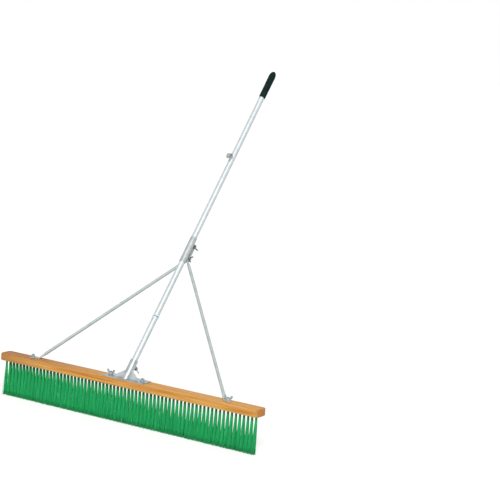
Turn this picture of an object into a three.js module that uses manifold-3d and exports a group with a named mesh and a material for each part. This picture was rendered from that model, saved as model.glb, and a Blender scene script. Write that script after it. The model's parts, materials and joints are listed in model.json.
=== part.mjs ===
// Tennis court brush: a wooden head with two staggered rows of nylon tufts, a welded socket bracket,
// a two-piece aluminium pole in a split clamp, two stays with flattened ends, and wing fasteners.
// Millimetres, +Z up. X runs along the head, +Y is the side that the pole leans to.

import * as THREE from 'three';
import { mergeVertices } from 'three/addons/utils/BufferGeometryUtils.js';
import Module from 'manifold-3d';

const wasm = await Module();
wasm.setup();

// Clearances shared by all pieces
const seatGap = 0.3;
const cutOverrun = 2;

// Head board
const boardLength = 1200;
const boardWidth = 60;
const boardThickness = 27;
const boardCornerRadius = 15;
const boardEdgeRound = 2;

// Tufts, set in two staggered rows in a slice of the board's underside
const bristleLength = 140;
const bristleTrim = 0.5;
const tuftPitch = 17.1;
const tuftRowSpacing = 14;
const tuftEndMargin = 18;
const sliceThickness = 4;
const strandsPerTuft = 3;
const strandRootCircle = 1.9;
const strandRootRadius = 1.6;
const strandTipCircle = 5;
const strandTipRadius = 2.9;
const strandRootSink = 1;
const strandDrag = 4.5;

// Bracket that holds the pole's foot
const plateLength = 190;
const plateWidth = 54;
const plateThickness = 3.2;
const plateCornerRadius = 3;
const plateBoltSpacing = 148;
const socketWall = 3.2;
const socketHeight = 75;
const gussetReach = 60;
const gussetHeight = 33;
const gussetThickness = 3;

// Pole
const poleAngle = THREE.MathUtils.degToRad(51.8);
const poleReach = 1426;
const poleFootSetBack = 4;
const poleDiameter = 22;
const poleWall = 1.5;
const slideFit = 0.3;
const tapeBottom = 256;
const tapeWidth = 18;
const tapeThickness = 0.4;

// Split clamp that joins the two tubes
const clampCentre = 566;
const clampLength = 110;
const clampWall = 1.4;
const clampSlit = 2.8;
const flangeReach = 31.5;
const flangeLength = 76;
const flangeCorner = 6;
const clampBoltReach = 23;
const clampBoltSpacing = 52;

// Grip
const gripLength = 123;
const gripWall = 2.7;
const gripRimHeight = 3;
const gripRimProud = 0.3;
const gripTabThickness = 5.2;
const gripTabWidth = 25;
const gripTaperLength = 20;
const gripTabLength = 10;
const gripEyeRadius = 4;
const gripEyeFromTip = 10;
const gripTipSolid = 42;

// Hanging hook, riveted to the upper tube
const hookHeight = 992;
const hookCurlRadius = 11.2;
const hookStrip = 2.2;
const hookWidth = 16;
const hookFootLength = 17;
const hookFootWidth = 9;
const hookBendLength = 3;
const hookCurlEnd = THREE.MathUtils.degToRad(-80);
const rivetRadius = 2.1;
const rivetHeadRadius = 3.6;
const rivetHeadHeight = 1.5;
const rivetBulbRadius = 3.1;
const rivetBulbHeight = 2;
const rivetEdge = 6;

// Stays: thin tubes with flattened ends
const stayDiameter = 12;
const stayWall = 1.2;
const staySlit = 0.4;
const stayFootInset = 145;
const stayFootBend = 24;
const stayFootToeIn = THREE.MathUtils.degToRad(9);
const stayFootReach = 14;
const stayFootTaper = 34;
const stayTopBend = 11.5;
const stayTopReach = 9;
const stayTopTaper = 27;

// Fasteners on an 8 mm thread, and the clamp's on a 6 mm thread
const threadDiameter = 8;
const clampThreadDiameter = 6;
const threadFit = 0.3;
const boltHoleFit = 0.5;
const boltHeadRadius = 10;
const boltHeadHeight = 4.5;
const boltNeckHeight = 5;
const boltNeckWidth = 8;
const boltTipChamfer = 1;
const boltStickOut = 4;
const washerRadius = 8.5;
const washerThickness = 1.6;
const weldNutAcrossFlats = 14;
const weldNutHeight = 6.5;
const wingBoltStandOff = 4.8;
const wingSpan = 36;
const wingHeight = 18;
const wingTipRadius = 4.2;
const wingThickness = 2.6;
const wingRootLow = 2;
const hubRadius = 8;
const hubTopRadius = 6.3;
const hubHeight = 8;
const socketBoltHeight = 56;
const leftPlateWingTurn = THREE.MathUtils.degToRad(0);
const rightPlateWingTurn = THREE.MathUtils.degToRad(-50);
const leftFootWingTurn = THREE.MathUtils.degToRad(-55);
const rightFootWingTurn = THREE.MathUtils.degToRad(2);
const socketWingTurn = THREE.MathUtils.degToRad(40);
const lowerClampWingTurn = THREE.MathUtils.degToRad(0);
const upperClampWingTurn = THREE.MathUtils.degToRad(72);
const hexHeadAcrossFlats = 10;
const hexHeadHeight = 4;
const hexBoltStickOut = 3;
const clampWasherRadius = 6.5;
const clampWasherThickness = 1.2;

// Number of sides of round forms
const tubeSides = 24;
const hubSides = 16;
const boltSides = 12;
const staySides = 12;
const gripSides = 20;

// Places that follow from the sizes
const boardBottom = bristleLength;
const boardTop = boardBottom + boardThickness;
const grooveTop = boardBottom + sliceThickness + seatGap;
const plateBottom = boardTop + seatGap;
const plateTop = plateBottom + plateThickness;
const poleRadius = poleDiameter / 2;
const boltRadius = threadDiameter / 2;
const threadHoleRadius = boltRadius + threadFit;
const boltHoleRadius = boltRadius + boltHoleFit;
const socketInner = poleRadius + slideFit;
const socketOuter = socketInner + socketWall;
const clampInner = poleRadius + slideFit;
const clampOuter = clampInner + clampWall;
const clampBottom = clampCentre - clampLength / 2;
const clampTop = clampCentre + clampLength / 2;
const flangeFace = clampSlit / 2 + clampWall;
const lowerClampBolt = clampCentre - clampBoltSpacing / 2;
const upperClampBolt = clampCentre + clampBoltSpacing / 2;
const clampBoltRadius = clampThreadDiameter / 2;
const clampHoleRadius = clampBoltRadius + boltHoleFit;
const stayRadius = stayDiameter / 2;
const stayTabHalf = stayWall + staySlit / 2;
const quarterTurn = Math.PI / 2;
const stayTabRadius = flattenedHalfWidth(stayRadius, stayTabHalf);

const wood = new THREE.MeshStandardMaterial({ color: 0xc98a48, roughness: 0.6, metalness: 0 });
const nylon = new THREE.MeshStandardMaterial({ color: 0x1f9c55, roughness: 0.55, metalness: 0 });
const zincSteel = new THREE.MeshStandardMaterial({ color: 0xc9cbd0, roughness: 0.4, metalness: 0.8 });
const greySteel = new THREE.MeshStandardMaterial({ color: 0xa8a6a0, roughness: 0.45, metalness: 0.8 });
const aluminium = new THREE.MeshStandardMaterial({ color: 0xe3e8ea, roughness: 0.35, metalness: 0.8 });
const tapeFilm = new THREE.MeshStandardMaterial({ color: 0xc3d2dc, roughness: 0.35, metalness: 0 });
const darkSteel = new THREE.MeshStandardMaterial({ color: 0x4d5a58, roughness: 0.45, metalness: 0.7 });
const vinyl = new THREE.MeshStandardMaterial({ color: 0x15211f, roughness: 0.45, metalness: 0 });

// A closed three.js geometry as a solid that can be joined and cut
function solidOf(geometry) {
  const bare = geometry.clone();
  bare.deleteAttribute('normal');
  bare.deleteAttribute('uv');
  const welded = mergeVertices(bare);
  return new wasm.Manifold(new wasm.Mesh({
    numProp: 3,
    vertProperties: new Float32Array(welded.attributes.position.array),
    triVerts: new Uint32Array(welded.index.array),
  }));
}

// The joined or cut solid as a geometry again
function geometryOf(solid) {
  const cut = solid.getMesh();
  const geometry = new THREE.BufferGeometry();
  geometry.setAttribute('position', new THREE.BufferAttribute(cut.vertProperties, 3));
  geometry.setIndex(new THREE.BufferAttribute(cut.triVerts, 1));
  return geometry;
}

// A profile of [radius, height] turned about Z, outer side upward
function turned(profile, sides) {
  const points = profile.map(([radius, height]) => new THREE.Vector2(radius, height));
  return new THREE.LatheGeometry(points, sides).rotateX(quarterTurn);
}

function tube(outer, inner, bottom, top, sides) {
  return turned([[inner, bottom], [outer, bottom], [outer, top], [inner, top], [inner, bottom]], sides);
}

function rod(radius, bottom, top, sides) {
  const cylinder = new THREE.CylinderGeometry(radius, radius, top - bottom, sides);
  return cylinder.rotateX(quarterTurn).translate(0, 0, (bottom + top) / 2);
}

// A rod along +Y, starting at y = 0, used to drill through the pole's back
function crossRod(radius, length, height, sides) {
  return rod(radius, 0, length, sides).rotateX(-quarterTurn).translate(0, 0, height);
}

function block(width, depth, bottom, top) {
  return new THREE.BoxGeometry(width, depth, top - bottom).translate(0, 0, (bottom + top) / 2);
}

function roundedRectangle(length, width, radius) {
  const x = length / 2 - radius;
  const y = width / 2 - radius;
  const shape = new THREE.Shape();
  shape.absarc(x, y, radius, 0, quarterTurn);
  shape.absarc(-x, y, radius, quarterTurn, 2 * quarterTurn);
  shape.absarc(-x, -y, radius, 2 * quarterTurn, 3 * quarterTurn);
  shape.absarc(x, -y, radius, 3 * quarterTurn, 4 * quarterTurn);
  return shape;
}

// Half the width that a round tube takes when it is pressed to a given half thickness
function flattenedHalfWidth(radius, halfThickness) {
  return halfThickness + (Math.PI / 2) * (radius - halfThickness);
}

// Side by side quads between rings of equal length, each ring counter-clockwise about the path
function skin(rings, ringLoop) {
  const sides = rings[0].length;
  const triangles = [];
  const spans = ringLoop ? rings.length : rings.length - 1;
  for (let i = 0; i < spans; i += 1) {
    const here = i * sides;
    const next = ((i + 1) % rings.length) * sides;
    for (let j = 0; j < sides; j += 1) {
      const k = (j + 1) % sides;
      triangles.push(here + j, here + k, next + k, here + j, next + k, next + j);
    }
  }
  return triangles;
}

function geometryFrom(points, triangles) {
  const geometry = new THREE.BufferGeometry();
  const flat = points.flatMap((point) => [point.x, point.y, point.z]);
  geometry.setAttribute('position', new THREE.BufferAttribute(new Float32Array(flat), 3));
  geometry.setIndex(triangles);
  return geometry;
}

// A solid body through rings, closed by a fan at each end
function cappedLoft(rings) {
  const sides = rings[0].length;
  const points = rings.flat();
  const triangles = skin(rings, false);
  const middle = (ring) => ring.reduce((sum, point) => sum.add(point), new THREE.Vector3())
    .multiplyScalar(1 / ring.length);
  const first = points.push(middle(rings[0])) - 1;
  const last = points.push(middle(rings[rings.length - 1])) - 1;
  const lastRing = (rings.length - 1) * sides;
  for (let j = 0; j < sides; j += 1) {
    const k = (j + 1) % sides;
    triangles.push(first, k, j, last, lastRing + j, lastRing + k);
  }
  return geometryFrom(points, triangles);
}

// A stadium outline: a circle when both halves are equal, flat-sided when they differ
function stadium(halfWidth, halfThickness, sides) {
  const round = Math.min(halfWidth, halfThickness);
  const outline = [];
  for (let j = 0; j < sides; j += 1) {
    const angle = ((j + 0.5) / sides) * 2 * Math.PI;
    const c = Math.cos(angle);
    const s = Math.sin(angle);
    outline.push([
      c * round + Math.sign(c) * (halfWidth - round),
      s * round + Math.sign(s) * (halfThickness - round),
    ]);
  }
  return outline;
}

function ringAt(centre, widthAxis, heightAxis, outline) {
  return outline.map(([x, y]) => centre.clone().addScaledVector(widthAxis, x).addScaledVector(heightAxis, y));
}

function smooth(share) {
  return share * share * (3 - 2 * share);
}

// The pole's own frame: Z up the pole from the plate, +Y out of its lower back, X along the head
const poleFrame = new THREE.Group();
poleFrame.position.set(0, -poleFootSetBack, plateTop);
poleFrame.rotation.x = poleAngle - quarterTurn;
poleFrame.updateMatrix();

// Everything in the pole's frame below a level just above the plate
function belowPlate() {
  const span = socketHeight + gussetReach + plateWidth;
  const slab = new THREE.BoxGeometry(2 * span, 2 * span, span).translate(0, 0, seatGap - span / 2);
  return solidOf(slab.rotateX(-poleFrame.rotation.x));
}

const parts = [];

function add(parent, name, geometry, material) {
  const mesh = new THREE.Mesh(geometry, material);
  mesh.name = name;
  parent.add(mesh);
  parts.push(mesh);
  return mesh;
}

const brush = new THREE.Group();
brush.add(poleFrame);

const plateBoltX = plateBoltSpacing / 2;
const stayBoltX = boardLength / 2 - stayFootInset;

// Head board, with the groove for the tufted slices and the seats of four carriage bolts
const outerTuft = Math.floor((boardLength / 2 - tuftEndMargin) / tuftPitch);
const sliceSpan = (2 * outerTuft + 1) * tuftPitch;

function headBoard() {
  const outline = roundedRectangle(
    boardLength - 2 * boardEdgeRound,
    boardWidth - 2 * boardEdgeRound,
    boardCornerRadius - boardEdgeRound,
  );
  const slab = new THREE.ExtrudeGeometry(outline, {
    depth: boardThickness - 2 * boardEdgeRound,
    bevelThickness: boardEdgeRound,
    bevelSize: boardEdgeRound,
    bevelSegments: 1,
    curveSegments: 4,
  });
  let board = solidOf(slab.translate(0, 0, boardBottom + boardEdgeRound));
  const grooveWidth = 2 * tuftRowSpacing + seatGap;
  const groove = block(sliceSpan + 2 * seatGap, grooveWidth, boardBottom - cutOverrun, grooveTop);
  board = board.subtract(solidOf(groove));
  const seatRoof = grooveTop + boltHeadHeight + seatGap;
  const neckWidth = boltNeckWidth + 2 * seatGap;
  for (const x of [-stayBoltX, -plateBoltX, plateBoltX, stayBoltX]) {
    const headSeat = rod(boltHeadRadius + seatGap, grooveTop - cutOverrun, seatRoof, hubSides);
    const neckSeat = block(neckWidth, neckWidth, grooveTop, seatRoof + boltNeckHeight);
    const hole = rod(boltHoleRadius, grooveTop, boardTop + cutOverrun, boltSides);
    for (const cut of [headSeat, neckSeat, hole]) {
      board = board.subtract(solidOf(cut.translate(x, 0, 0)));
    }
  }
  return geometryOf(board);
}
add(brush, 'head_board', headBoard(), wood);

// One strand: a three-sided rod that leaves the tuft's root and spreads to the floor
function strandRings(tuftX, tuftY, turn, top) {
  const sideTurn = (2 * Math.PI) / 3;
  const ring = (circle, radius, height, drag) => {
    const centre = new THREE.Vector3(
      tuftX - drag + circle * Math.cos(turn),
      tuftY + circle * Math.sin(turn),
      height,
    );
    return [0, 1, 2].map((corner) => {
      const angle = turn + corner * sideTurn;
      return centre.clone().add(new THREE.Vector3(radius * Math.cos(angle), radius * Math.sin(angle), 0));
    });
  };
  return [
    ring(strandTipCircle, strandTipRadius, -bristleTrim, strandDrag),
    ring(strandRootCircle, strandRootRadius, top, 0),
  ];
}

// A half row of tufts fused to its slice of the board, trimmed flat where it meets the floor
function tuftedSlice(tuftPlaces, rowY, sliceFrom, sliceTo) {
  const goldenTurn = Math.PI * (3 - Math.sqrt(5));
  const points = [];
  const triangles = [];
  for (const [index, x] of tuftPlaces) {
    for (let strand = 0; strand < strandsPerTuft; strand += 1) {
      const turn = index * goldenTurn + (strand / strandsPerTuft) * 2 * Math.PI;
      const rings = strandRings(x, rowY, turn, boardBottom + strandRootSink);
      const first = points.length;
      points.push(...rings.flat());
      const shell = [...skin(rings, false), 0, 2, 1, 3, 4, 5];
      triangles.push(...shell.map((corner) => corner + first));
    }
  }
  const strands = solidOf(geometryFrom(points, triangles));
  const slice = block(sliceTo - sliceFrom, tuftRowSpacing - seatGap, boardBottom, boardBottom + sliceThickness)
    .translate((sliceFrom + sliceTo) / 2, rowY, 0);
  const floorToTop = block(2 * boardLength, 2 * boardWidth, 0, boardTop);
  return geometryOf(strands.add(solidOf(slice)).intersect(solidOf(floorToTop)));
}

// The front row has one tuft more, and the back row lies half a pitch aside of it
function addTufts() {
  const sliceEnd = sliceSpan / 2;
  const halfPitch = tuftPitch / 2;
  const frontPlaces = [];
  for (let i = -outerTuft; i <= outerTuft; i += 1) {
    frontPlaces.push([i, i * tuftPitch]);
  }
  const backPlaces = frontPlaces.slice(0, -1).map(([i, x]) => [i + 0.5, x + halfPitch]);
  const rows = [
    { name: 'front', y: -tuftRowSpacing / 2, places: frontPlaces, split: halfPitch },
    { name: 'back', y: tuftRowSpacing / 2, places: backPlaces, split: 0 },
  ];
  for (const row of rows) {
    const left = row.places.filter(([, x]) => x < row.split);
    const right = row.places.filter(([, x]) => x > row.split);
    const leftEnd = row.split - seatGap / 2;
    const rightStart = row.split + seatGap / 2;
    add(brush, `bristles_${row.name}_left`, tuftedSlice(left, row.y, -sliceEnd, leftEnd), nylon);
    add(brush, `bristles_${row.name}_right`, tuftedSlice(right, row.y, rightStart, sliceEnd), nylon);
  }
}
addTufts();

// Bracket: a flat plate, an inclined socket, and a web on each side of it
function basePlate() {
  const outline = roundedRectangle(plateLength, plateWidth, plateCornerRadius);
  for (const side of [-1, 1]) {
    const hole = new THREE.Path();
    hole.absarc(side * plateBoltX, 0, boltHoleRadius, 0, 4 * quarterTurn, true);
    outline.holes.push(hole);
  }
  const plate = new THREE.ExtrudeGeometry(outline, {
    depth: plateThickness,
    bevelEnabled: false,
    curveSegments: 4,
  });
  return plate.translate(0, 0, plateBottom);
}
add(brush, 'base_plate', basePlate(), zincSteel);

function socketTube() {
  const below = -2 * socketOuter;
  const pipe = solidOf(tube(socketOuter, socketInner, below, socketHeight, tubeSides));
  const hole = crossRod(threadHoleRadius, 2 * socketOuter, socketBoltHeight, boltSides);
  return geometryOf(pipe.subtract(belowPlate()).subtract(solidOf(hole)));
}
add(poleFrame, 'socket_tube', socketTube(), zincSteel);

function gusset(side) {
  const inner = socketOuter + seatGap;
  const web = new THREE.Shape();
  web.moveTo(inner, -gussetThickness);
  web.lineTo(gussetReach, -gussetThickness);
  web.lineTo(gussetReach, seatGap);
  web.lineTo(inner, gussetHeight);
  const plate = new THREE.ExtrudeGeometry(web, { depth: gussetThickness, bevelEnabled: false });
  plate.translate(0, 0, -gussetThickness / 2).rotateX(quarterTurn);
  const trimmed = solidOf(plate).subtract(belowPlate());
  return geometryOf(side > 0 ? trimmed : trimmed.mirror([1, 0, 0]));
}
add(poleFrame, 'left_gusset', gusset(-1), zincSteel);
add(poleFrame, 'right_gusset', gusset(1), zincSteel);

// Pole tubes: butted in the middle of the clamp
const squareEndLift = poleRadius / Math.tan(poleAngle);
const lowerTubeBottom = squareEndLift + seatGap / Math.sin(poleAngle) + seatGap;
const lowerTubeTop = clampCentre - seatGap / 2;
const upperTubeBottom = clampCentre + seatGap / 2;
const upperTubeTop = poleReach - gripTipSolid;
const hookFootBottom = hookHeight - hookFootLength;
const rivetHeight = hookFootBottom + rivetEdge;

add(
  poleFrame,
  'lower_tube',
  tube(poleRadius, poleRadius - poleWall, lowerTubeBottom, lowerTubeTop, tubeSides),
  aluminium,
);

function upperTube() {
  const pipe = solidOf(tube(poleRadius, poleRadius - poleWall, upperTubeBottom, upperTubeTop, tubeSides));
  const hole = crossRod(rivetRadius + seatGap, 2 * poleRadius, rivetHeight, boltSides);
  return geometryOf(pipe.subtract(solidOf(hole.translate(0, -2 * poleRadius, 0))));
}
add(poleFrame, 'upper_tube', upperTube(), aluminium);

// A thin film of tape wound round the lower tube
const tapeInner = poleRadius + seatGap;
add(
  poleFrame,
  'tape_band',
  tube(tapeInner + tapeThickness, tapeInner, tapeBottom, tapeBottom + tapeWidth, tubeSides),
  tapeFilm,
);

// Split clamp: a pipe cut open along its back, with a flange on each lip for the cross bolts
function couplingClamp() {
  let clamp = solidOf(tube(clampOuter, clampInner, clampBottom, clampTop, tubeSides));
  const slit = new THREE.BoxGeometry(clampSlit, clampOuter, 2 * clampLength);
  clamp = clamp.subtract(solidOf(slit.translate(0, clampOuter, clampCentre)));
  const root = clampInner + clampWall / 2;
  const corner = flangeReach - flangeCorner;
  const flangeHalf = flangeLength / 2;
  const outline = new THREE.Shape();
  outline.moveTo(root, -flangeHalf);
  outline.absarc(corner, flangeCorner - flangeHalf, flangeCorner, -quarterTurn, 0);
  outline.absarc(corner, flangeHalf - flangeCorner, flangeCorner, 0, quarterTurn);
  outline.lineTo(root, flangeHalf);
  const plate = new THREE.ExtrudeGeometry(outline, {
    depth: clampWall,
    bevelEnabled: false,
    curveSegments: 4,
  });
  const flange = solidOf(
    plate.rotateX(quarterTurn).rotateZ(quarterTurn).translate(clampSlit / 2, 0, clampCentre),
  );
  clamp = clamp.add(flange).add(flange.mirror([1, 0, 0]));
  for (const height of [lowerClampBolt, upperClampBolt]) {
    const hole = rod(clampHoleRadius, -clampOuter, clampOuter, boltSides).rotateY(quarterTurn);
    clamp = clamp.subtract(solidOf(hole.translate(0, clampBoltReach, height)));
  }
  return geometryOf(clamp);
}
add(poleFrame, 'coupling_clamp', couplingClamp(), greySteel);

// Weld nut: a hexagon that is saddled on the pipe it is welded to
function weldNut(pipeOuter, height) {
  const cornerRadius = weldNutAcrossFlats / Math.sqrt(3);
  const face = pipeOuter + seatGap + weldNutHeight;
  const hexagon = solidOf(rod(cornerRadius, pipeOuter - cutOverrun, face, 6).rotateX(-quarterTurn));
  const bore = solidOf(crossRod(threadHoleRadius, 2 * face, 0, boltSides));
  const saddle = solidOf(rod(pipeOuter + seatGap, -weldNutAcrossFlats, weldNutAcrossFlats, tubeSides));
  return geometryOf(hexagon.subtract(bore).subtract(saddle)).translate(0, 0, height);
}
add(poleFrame, 'socket_weld_nut', weldNut(socketOuter, socketBoltHeight), greySteel);

// Two raised ears on a tapered hub, standing on z = 0
function wingedHub() {
  const tipX = wingSpan / 2 - wingTipRadius;
  const tipZ = wingHeight - wingTipRadius;
  const earSweepShares = { outX: 0.78, outZ: 0.17, inX: 0.46, inZ: 0.53 };
  const arcStart = THREE.MathUtils.degToRad(-30);
  const arcEnd = THREE.MathUtils.degToRad(150);
  const rootX = hubTopRadius - wingRootLow;
  const ear = new THREE.Shape();
  ear.moveTo(rootX, wingRootLow);
  ear.quadraticCurveTo(
    (earSweepShares.outX * wingSpan) / 2,
    earSweepShares.outZ * wingHeight,
    tipX + wingTipRadius * Math.cos(arcStart),
    tipZ + wingTipRadius * Math.sin(arcStart),
  );
  ear.absarc(tipX, tipZ, wingTipRadius, arcStart, arcEnd);
  ear.quadraticCurveTo(
    (earSweepShares.inX * wingSpan) / 2,
    earSweepShares.inZ * wingHeight,
    rootX,
    hubHeight - seatGap,
  );
  const flat = new THREE.ExtrudeGeometry(ear, {
    depth: wingThickness,
    bevelEnabled: false,
    curveSegments: 4,
  });
  const raised = solidOf(flat.translate(0, 0, -wingThickness / 2).rotateX(quarterTurn));
  const hub = turned([[0, 0], [hubRadius, 0], [hubTopRadius, hubHeight], [0, hubHeight]], hubSides);
  return solidOf(hub).add(raised).add(raised.mirror([1, 0, 0]));
}

// A wing nut for a thread, its whole form scaled to the thread's size
function wingNut(diameter) {
  const share = diameter / threadDiameter;
  const body = wingedHub().scale([share, share, share]);
  const bore = rod(diameter / 2 + threadFit, -cutOverrun, hubHeight + cutOverrun, boltSides);
  return geometryOf(body.subtract(solidOf(bore)));
}

// A wing bolt: the same hub on a shank that reaches down to its tip
function wingBolt(shankLength) {
  const tip = boltRadius - boltTipChamfer;
  const shank = turned([
    [0, -shankLength],
    [tip, -shankLength],
    [boltRadius, boltTipChamfer - shankLength],
    [boltRadius, wingRootLow],
    [0, wingRootLow],
  ], boltSides);
  return geometryOf(wingedHub().add(solidOf(shank)));
}

// Places a wing bolt so that its tip bears on the pole and its hub stands at the given face
function addWingBolt(name, height, hubFace, turn) {
  const shankLength = hubFace - poleRadius - seatGap;
  const bolt = add(poleFrame, name, wingBolt(shankLength), zincSteel);
  bolt.rotation.set(-quarterTurn, 0, 0);
  bolt.rotateZ(turn);
  bolt.position.set(0, hubFace, height);
}

const socketHubFace = socketOuter + seatGap + weldNutHeight + wingBoltStandOff;
addWingBolt('socket_wing_bolt', socketBoltHeight, socketHubFace, socketWingTurn);

// Cross bolt of the clamp: a hexagon head on the left, a shank through both flanges to the right
function hexBolt(shankLength) {
  const headRadius = hexHeadAcrossFlats / Math.sqrt(3);
  const shank = turned([
    [0, -hexHeadHeight / 2],
    [clampBoltRadius, -hexHeadHeight / 2],
    [clampBoltRadius, shankLength - boltTipChamfer],
    [clampBoltRadius - boltTipChamfer, shankLength],
    [0, shankLength],
  ], boltSides);
  return geometryOf(solidOf(rod(headRadius, -hexHeadHeight, 0, 6)).add(solidOf(shank)));
}

// Bolt and wing nut across the flanges, between a seat on the left and a seat on the right
function addClampFasteners(name, height, leftSeat, rightSeat, turn) {
  const shankLength = leftSeat + rightSeat + (hubHeight * clampThreadDiameter) / threadDiameter + hexBoltStickOut;
  const bolt = hexBolt(shankLength).rotateY(quarterTurn).translate(-leftSeat, clampBoltReach, height);
  add(poleFrame, `${name}_bolt`, bolt, zincSteel);
  const nut = add(poleFrame, `${name}_wing_nut`, wingNut(clampThreadDiameter), darkSteel);
  nut.rotation.set(0, quarterTurn, 0);
  nut.rotateZ(turn);
  nut.position.set(rightSeat, clampBoltReach, height);
}

const stayTabThickness = 2 * stayTabHalf;
const tabSeat = flangeFace + seatGap + stayTabThickness + seatGap;
addClampFasteners('lower_clamp', lowerClampBolt, tabSeat, tabSeat, lowerClampWingTurn);
const clampWasherBottom = flangeFace + seatGap;
const clampWasherTop = clampWasherBottom + clampWasherThickness;
addClampFasteners(
  'upper_clamp',
  upperClampBolt,
  clampWasherBottom,
  clampWasherTop + seatGap,
  upperClampWingTurn,
);
const clampWasher = tube(clampWasherRadius, clampHoleRadius, clampWasherBottom, clampWasherTop, hubSides);
clampWasher.rotateY(quarterTurn).translate(0, clampBoltReach, upperClampBolt);
add(poleFrame, 'upper_clamp_washer', clampWasher, zincSteel);

// Stay: a thin tube whose ends are pressed flat, one against a clamp flange, the other on the board
function stayTube(side) {
  const toHead = poleFrame.matrix;
  const topX = side * (flangeFace + seatGap + stayTabHalf);
  const topBolt = new THREE.Vector3(topX, clampBoltReach, lowerClampBolt).applyMatrix4(toHead);
  const tabNormal = new THREE.Vector3(1, 0, 0);
  const footBolt = new THREE.Vector3(side * stayBoltX, 0, boardTop + seatGap + stayTabHalf);
  const up = new THREE.Vector3(0, 0, 1);
  const footRun = footBolt.clone().sub(topBolt).setZ(0).normalize()
    .applyAxisAngle(up, side * stayFootToeIn);
  const footBend = footBolt.clone().addScaledVector(footRun, -stayFootBend);
  const topRun = footBend.clone().sub(topBolt).projectOnPlane(tabNormal).normalize();
  const topBend = topBolt.clone().addScaledVector(topRun, stayTopBend);
  const run = footBend.clone().sub(topBend);
  const runLength = run.length();
  run.normalize();

  const stations = [];
  const station = (centre, along, halfThickness, widthShare, widthAxis) => {
    stations.push({ centre, along, halfThickness, widthShare, widthAxis });
  };
  const topWidth = new THREE.Vector3().crossVectors(tabNormal, topRun).normalize();
  const footWidth = new THREE.Vector3().crossVectors(up, run).normalize();
  if (footWidth.dot(topWidth) < 0) {
    footWidth.negate();
  }

  // Rounded end of a tab: the width follows a circle set off from the bolt
  const endShares = [0.35, 0.75, 1];
  const endOffset = (share, reach) => reach - stayTabRadius * (1 - Math.sqrt(1 - share * share));
  for (const share of endShares) {
    const centre = topBolt.clone().addScaledVector(topRun, -endOffset(share, stayTopReach));
    station(centre, topRun, stayTabHalf, share, topWidth);
  }
  station(topBend.clone().addScaledVector(topRun, -2 * stayTabHalf), topRun, stayTabHalf, 1, topWidth);
  station(topBend, topRun.clone().add(run).normalize(), stayTabHalf, 1, topWidth);

  // From flat to round, along the straight run, and back to flat, while the flats turn into line
  const twist = topWidth.angleTo(footWidth.clone().projectOnPlane(run).normalize());
  const twistSign = Math.sign(new THREE.Vector3().crossVectors(topWidth, footWidth).dot(run));
  const taperShares = [0.12, 0.4, 0.7, 1];
  const roundRun = runLength - stayTopTaper - stayFootTaper;
  const places = [
    ...taperShares.map((share) => [share * stayTopTaper, smooth(share)]),
    [stayTopTaper + roundRun / 2, 1],
    ...[...taperShares].reverse().map((share) => [runLength - share * stayFootTaper, smooth(share)]),
  ];
  for (const [distance, roundness] of places) {
    const turnShare = THREE.MathUtils.clamp((distance - stayTopTaper) / roundRun, 0, 1);
    const width = topWidth.clone().projectOnPlane(run).normalize()
      .applyAxisAngle(run, twistSign * twist * turnShare);
    const half = stayTabHalf + (stayRadius - stayTabHalf) * roundness;
    station(topBend.clone().addScaledVector(run, distance), run, half, 1, width);
  }
  const bendRun = run.clone().add(footRun).normalize();
  station(footBend, bendRun, stayTabHalf, 1, footWidth);
  station(footBend.clone().addScaledVector(footRun, 2 * stayTabHalf), footRun, stayTabHalf, 1, footWidth);
  for (const share of [...endShares].reverse()) {
    const centre = footBolt.clone().addScaledVector(footRun, endOffset(share, stayFootReach));
    station(centre, footRun, stayTabHalf, share, footWidth);
  }

  const outerRings = [];
  const innerRings = [];
  for (const { centre, along, halfThickness, widthShare, widthAxis } of stations) {
    const width = widthAxis.clone().projectOnPlane(along).normalize();
    const height = new THREE.Vector3().crossVectors(along, width).normalize();
    const halfWidth = flattenedHalfWidth(stayRadius, halfThickness) * widthShare;
    const outline = stadium(halfWidth, halfThickness, staySides);
    const bore = stadium(halfWidth - stayWall, halfThickness - stayWall, staySides);
    outerRings.push(ringAt(centre, width, height, outline));
    innerRings.push(ringAt(centre, width, height, bore));
  }
  const rings = [...outerRings, ...innerRings.reverse()];
  const pressed = solidOf(geometryFrom(rings.flat(), skin(rings, true)));

  const footHole = rod(boltHoleRadius, -stayDiameter, stayDiameter, boltSides)
    .translate(footBolt.x, footBolt.y, footBolt.z);
  const topHole = rod(clampHoleRadius, -stayDiameter, stayDiameter, boltSides)
    .rotateY(quarterTurn).translate(topX, clampBoltReach, lowerClampBolt).applyMatrix4(toHead);
  return geometryOf(pressed.subtract(solidOf(footHole)).subtract(solidOf(topHole)));
}
add(brush, 'left_stay', stayTube(-1), aluminium);
add(brush, 'right_stay', stayTube(1), aluminium);

// Carriage bolt: domed head in the board, square neck, and a shank that ends above the wing nut
function carriageBolt(shankTop) {
  const domeShares = [[0, 0], [0.6, 0.15], [1, 0.75], [1, 1]];
  const headTop = grooveTop + boltHeadHeight;
  const dome = domeShares.map(([out, up]) => [out * boltHeadRadius, grooveTop + up * boltHeadHeight]);
  const shank = turned([
    ...dome,
    [boltRadius, headTop],
    [boltRadius, shankTop - boltTipChamfer],
    [boltRadius - boltTipChamfer, shankTop],
    [0, shankTop],
  ], hubSides);
  const neck = block(boltNeckWidth, boltNeckWidth, headTop - boltTipChamfer, headTop + boltNeckHeight);
  return geometryOf(solidOf(shank).add(solidOf(neck)));
}

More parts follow.
